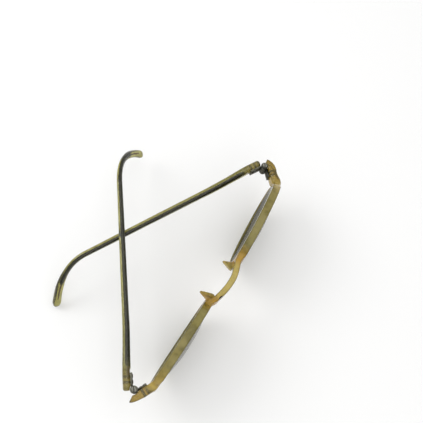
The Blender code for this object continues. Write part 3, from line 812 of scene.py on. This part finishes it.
class Graph:
    """A material's node tree, built a node at a time."""

    def __init__(self, name):
        self.material = bpy.data.materials.new(name)
        self.material.use_nodes = True
        self.tree = self.material.node_tree
        self.shader = self.tree.nodes["Principled BSDF"]
        self.output = self.tree.nodes["Material Output"]
        self.place = self.tree.nodes.new("ShaderNodeTexCoord").outputs["Object"]

    def node(self, kind, settings=None, **inputs):
        made = self.tree.nodes.new("ShaderNode" + kind)
        for key, value in (settings or {}).items():
            setattr(made, key, value)
        for key, value in inputs.items():
            self.feed(made.inputs[key.replace("_", " ")], value)
        return made

    def feed(self, socket, value):
        if isinstance(value, bpy.types.NodeSocket):
            self.tree.links.new(value, socket)
        else:
            socket.default_value = value

    def set(self, **inputs):
        for key, value in inputs.items():
            self.feed(self.shader.inputs[key.replace("_", " ")], value)

    def stretched(self, scale):
        return self.node("Mapping", Vector=self.place, Scale=scale).outputs["Vector"]

    def noise(self, size, detail=4.0, rough=0.55, stretch=(1, 1, 1), twist=0.0):
        """Noise from 0 to 1 whose features measure about size millimetres."""
        made = self.node("TexNoise", Vector=self.stretched(stretch), Scale=1000.0 / size,
                         Detail=detail, Roughness=rough, Distortion=twist)
        return made.outputs["Fac"]

    def ramp(self, value, *stops):
        """A ramp through (position, colour) stops, where a number is a grey."""
        made = self.node("ValToRGB", Fac=value)
        elements = made.color_ramp.elements
        while len(elements) < len(stops):
            elements.new(0.5)
        for element, (position, colour) in zip(elements, stops):
            element.position = position
            element.color = (*colour, 1.0) if isinstance(colour, tuple) else (colour,) * 3 + (1.0,)
        return made.outputs["Color"]

    def range(self, value, low, high, to_low, to_high):
        """A value's place between low and high, carried to between to_low and to_high."""
        made = self.node("MapRange", Value=value, From_Min=low, From_Max=high,
                         To_Min=to_low, To_Max=to_high)
        return made.outputs["Result"]

    def maths(self, operation, first, second):
        made = self.node("Math", {"operation": operation})
        self.feed(made.inputs[0], first)
        self.feed(made.inputs[1], second)
        return made.outputs[0]

    def mix(self, share, first, second, blend="MIX"):
        made = self.node("Mix", {"data_type": "RGBA", "blend_type": blend})
        self.feed(made.inputs[0], share)
        for socket, value in ((made.inputs[6], first), (made.inputs[7], second)):
            self.feed(socket, (*value, 1.0) if isinstance(value, tuple) else value)
        return made.outputs[2]

    def bump(self, height, strength, distance, under=None):
        made = self.node("Bump", Height=height, Strength=strength, Distance=distance * MM)
        if under is not None:
            self.feed(made.inputs["Normal"], under)
        return made.outputs["Normal"]

    def absorb(self, colour, density):
        made = self.node("VolumeAbsorption", Color=(*colour, 1.0), Density=density)
        self.tree.links.new(made.outputs[0], self.output.inputs["Volume"])


def near_point(graph, centre, reach, soft, turn, squash):
    """A mask that is 1 within reach millimetres of a point and fades out over soft more."""
    offset = graph.node("VectorMath", {"operation": "SUBTRACT"})
    graph.feed(offset.inputs[0], graph.place)
    graph.feed(offset.inputs[1], centre)
    laid = graph.node("Mapping", Vector=offset.outputs[0], Scale=squash)
    laid.inputs["Rotation"].default_value = (0.0, 0.0, math.radians(turn))
    away = graph.node("VectorMath", {"operation": "LENGTH"})
    graph.feed(away.inputs[0], laid.outputs["Vector"])
    return graph.range(away.outputs["Value"], reach * MM, (reach + soft) * MM, 1.0, 0.0)


def along_front(graph):
    """The distance from the front's middle plane, as a share of FRONT_SPAN."""
    split = graph.node("SeparateXYZ", Vector=graph.place)
    away = graph.maths("ABSOLUTE", split.outputs["X"], 0.0)
    return graph.maths("MULTIPLY", away, 1 / (FRONT_SPAN * MM))


def along_temple(graph):
    """The distance from the nearer hinge, as a share of TEMPLE_SPAN."""
    nearest = None
    for side in SIDES:
        away = graph.node("VectorMath", {"operation": "DISTANCE"})
        graph.feed(away.inputs[0], graph.place)
        graph.feed(away.inputs[1], hinge_at(side))
        value = away.outputs["Value"]
        nearest = value if nearest is None else graph.maths("MINIMUM", nearest, value)
    return graph.maths("MULTIPLY", nearest, 1 / (TEMPLE_SPAN * MM))


def acetate(name, along, tints, clarity, absorb, density, gleam, chip=False):
    """Old cellulose acetate: clear with streaks and haze, polished, finely scratched."""
    graph = Graph(name)
    cloud = graph.noise(7.0, 3.0, 0.5, twist=0.6)
    streak = graph.noise(1.5, 5.0, 0.6, stretch=(0.35, 0.35, 1.0), twist=0.3)
    body = graph.maths("ADD", graph.maths("MULTIPLY", cloud, 0.6),
                       graph.maths("MULTIPLY", streak, 0.4))
    share = along(graph)
    colour = graph.ramp(share, *tints)
    transmission = graph.ramp(share, *clarity)
    shade = graph.ramp(body, (0.36, (0.58, 0.58, 0.46)), (0.5, 1.0), (0.66, (1.22, 1.24, 1.3)))
    colour = graph.mix(1.0, colour, shade, "MULTIPLY")
    # Painted shade: convex edges are darkened toward dark olive, standing in for the dark outlines that the clear
    # acetate shows at its edges
    edge = graph.range(graph.node("NewGeometry").outputs["Pointiness"], 0.505, 0.55, 0.0, 0.7)
    colour = graph.mix(edge, colour, (0.10, 0.095, 0.03))
    specks = graph.ramp(graph.noise(0.55, 2.0, 0.5), (0.70, 0.0), (0.78, 1.0))
    colour = graph.mix(graph.maths("MULTIPLY", specks, 0.3), colour, (0.20, 0.13, 0.05))
    # At the nick the colour is painted nearly black and the acetate is made opaque, darker than the clear acetate
    # round it
    if chip:
        centre = Vector(MOUNTS["bridge_top"]["pos_m"]) + Vector(CHIP_AT) * MM
        mask = near_point(graph, centre, CHIP_REACH, CHIP_FADE, CHIP_TURN, CHIP_SQUASH)
        ragged = graph.range(graph.noise(0.5, 3.0, 0.6), 0.25, 0.45, 0.8, 1.0)
        colour = graph.mix(graph.maths("MULTIPLY", mask, ragged), colour, (0.010, 0.007, 0.004))
        transmission = graph.maths("SUBTRACT", transmission, graph.maths("MULTIPLY", mask, 0.9))
    scratches = graph.noise(0.22, 2.0, 0.7, stretch=(0.08, 1.0, 1.0), twist=1.2)
    wear = graph.noise(3.0, 4.0, 0.6)
    gloss = graph.maths("ADD", graph.range(wear, 0.35, 0.75, 0.05, 0.16),
                        graph.range(scratches, 0.55, 0.8, 0.0, 0.08))
    soft = graph.bump(graph.noise(2.2, 2.0, 0.5), 0.12, 0.03)
    normal = graph.bump(scratches, 0.06, 0.01, soft)
    graph.set(Base_Color=colour, Roughness=gloss, Transmission_Weight=transmission, IOR=1.49,
              Normal=normal, Specular_IOR_Level=gleam)
    graph.absorb(absorb, density)
    return graph.material


def lens_glass():
    """Dark grey glass, drawn as a film that can be seen through a little."""
    graph = Graph("grey_tinted_glass")
    haze = graph.noise(6.0, 4.0, 0.6)
    smear = graph.noise(1.2, 4.0, 0.6, stretch=(1.0, 1.0, 0.3), twist=0.8)
    tint = graph.ramp(haze, (0.3, (0.125, 0.118, 0.085)), (0.7, (0.160, 0.152, 0.112)))
    graph.set(Base_Color=tint, Roughness=graph.range(smear, 0.45, 0.75, 0.10, 0.18),
              IOR=1.52, Alpha=0.68, Specular_IOR_Level=0.2,
              Normal=graph.bump(graph.noise(1.5, 2.0, 0.5), 0.02, 0.01))
    return graph.material


def tarnished(name, dark, light, shine):
    """Nickel silver gone dark, with the light metal showing where it is rubbed."""
    graph = Graph(name)
    edge = graph.range(graph.node("NewGeometry").outputs["Pointiness"], 0.50, 0.58, 0.0, 1.0)
    patches = graph.noise(1.3, 5.0, 0.65, twist=0.5)
    grain = graph.noise(0.16, 3.0, 0.6, stretch=(1.0, 1.0, 4.0))
    rubbed = graph.maths("MULTIPLY", edge, graph.range(patches, 0.3, 0.7, 0.2, 1.0))
    middling, pale = (tuple(value * times for value in dark) for times in (1.8, 3.2))
    base = graph.ramp(patches, (0.3, dark), (0.55, middling), (0.75, pale))
    colour = graph.mix(rubbed, base, light)
    graph.set(Base_Color=colour, Metallic=0.92,
              Roughness=graph.maths("ADD", graph.range(patches, 0.3, 0.7, shine, shine + 0.22),
                                    graph.range(grain, 0.4, 0.7, 0.0, 0.1)),
              Normal=graph.bump(grain, 0.25, 0.02, graph.bump(patches, 0.3, 0.03)))
    return graph.material


def spring_steel():
    """Dark spring wire with little shine, because acetate lies round it."""
    graph = Graph("dark_spring_steel")
    bands = graph.noise(0.5, 3.0, 0.6, twist=1.0)
    colour = graph.ramp(bands, (0.3, (0.006, 0.007, 0.002)), (0.7, (0.03, 0.03, 0.010)))
    graph.set(Base_Color=colour, Roughness=graph.range(bands, 0.3, 0.7, 0.45, 0.7),
              Metallic=0.0, Specular_IOR_Level=0.12, Normal=graph.bump(bands, 0.4, 0.03))
    return graph.material


def rust():
    graph = Graph("rusted_tang")
    grains = graph.noise(0.35, 4.0, 0.65)
    colour = graph.ramp(grains, (0.3, (0.10, 0.035, 0.006)), (0.7, (0.24, 0.10, 0.02)))
    graph.set(Base_Color=colour, Roughness=graph.range(grains, 0.3, 0.7, 0.55, 0.85),
              Normal=graph.bump(grains, 0.5, 0.04))
    return graph.material


# Painted shade: a near-black material for the line in the gap between lens and rim
def make_groove_shade():
    graph = Graph("painted_groove_shade")
    grains = graph.noise(0.3, 4.0, 0.7)
    colour = graph.ramp(grains, (0.3, (0.02, 0.016, 0.008)), (0.7, (0.07, 0.055, 0.03)))
    graph.set(Base_Color=colour, Roughness=0.85, Normal=graph.bump(grains, 0.6, 0.05))
    return graph.material


# Stage --------------------------------------------------------------------------------


def build_floor():
    graph = Graph("pale_floor")
    graph.set(Base_Color=(0.94, 0.94, 0.935, 1.0), Roughness=0.9)
    shape = bmesh.new()
    bmesh.ops.create_grid(shape, x_segments=2, y_segments=2, size=FLOOR_HALF_SIZE)
    floor = from_bmesh("studio_floor", shape)
    floor.data.materials.append(graph.material)


def build_world():
    """A white studio that is a little darker toward the horizon."""
    world = bpy.data.worlds.new("studio")
    bpy.context.scene.world = world
    world.use_nodes = True
    tree = world.node_tree
    coordinates = tree.nodes.new("ShaderNodeTexCoord")
    split = tree.nodes.new("ShaderNodeSeparateXYZ")
    ramp = tree.nodes.new("ShaderNodeValToRGB")
    back = tree.nodes["Background"]
    tree.links.new(coordinates.outputs["Generated"], split.inputs[0])
    tree.links.new(split.outputs["Z"], ramp.inputs["Fac"])
    tree.links.new(ramp.outputs["Color"], back.inputs["Color"])
    elements = ramp.color_ramp.elements
    elements[0].position, elements[0].color = 0.0, (0.80, 0.80, 0.80, 1.0)
    elements[1].position, elements[1].color = 0.75, (1.0, 1.0, 1.0, 1.0)
    back.inputs["Strength"].default_value = WORLD_STRENGTH


def build_lamps():
    for name, at, size, power in LAMPS:
        light = bpy.data.lights.new(name, "AREA")
        light.shape = "DISK"
        light.size = size
        light.energy = power
        lamp = bpy.data.objects.new(name, light)
        lamp.location = at
        lamp.rotation_euler = (-Vector(at)).to_track_quat("-Z", "Y").to_euler()
        bpy.context.scene.collection.objects.link(lamp)


def build_camera():
    data = bpy.data.cameras.new("camera")
    data.lens = CAMERA_LENS
    data.sensor_width = CAMERA_SENSOR
    data.sensor_fit = "HORIZONTAL"
    data.clip_start = CAMERA_CLIP * MM
    camera = bpy.data.objects.new("camera", data)
    bpy.context.scene.collection.objects.link(camera)
    back = -Vector(CAMERA_FORWARD).normalized()
    up = Vector(CAMERA_UP)
    right = up.cross(back).normalized()
    up = back.cross(right)
    turn = Matrix((right, up, back)).transposed().to_4x4()
    camera.matrix_world = Matrix.Translation(Vector(CAMERA_AT) * MM) @ turn
    bpy.context.scene.camera = camera


# Making -------------------------------------------------------------------------------


def main():
    build_camera()
    honey = acetate("honey_acetate", along_front, HONEY_TINTS, HONEY_CLARITY,
                    (0.72, 0.62, 0.10), 300.0, 0.28, chip=True)
    olive = acetate("olive_acetate", along_temple, OLIVE_TINTS, OLIVE_CLARITY,
                    (0.55, 0.53, 0.16), 420.0, 0.18)
    glass = lens_glass()
    metal = tarnished("tarnished_nickel_silver", (0.016, 0.016, 0.011), (0.22, 0.21, 0.16), 0.38)
    screw_metal = tarnished("worn_screw_steel", (0.03, 0.03, 0.024), (0.34, 0.33, 0.28), 0.32)
    steel = spring_steel()
    rusted = rust()
    groove_shade_paint = make_groove_shade()

    build_front(honey)
    for side in SIDES:
        build_lens(side, glass)
        build_groove_line(side, groove_shade_paint)
        build_temple(side, olive)
        build_wire(side, steel, rusted)
    build_hinges(metal, screw_metal)
    build_floor()
    build_world()
    build_lamps()
    bpy.context.scene.view_settings.view_transform = "Standard"


main()
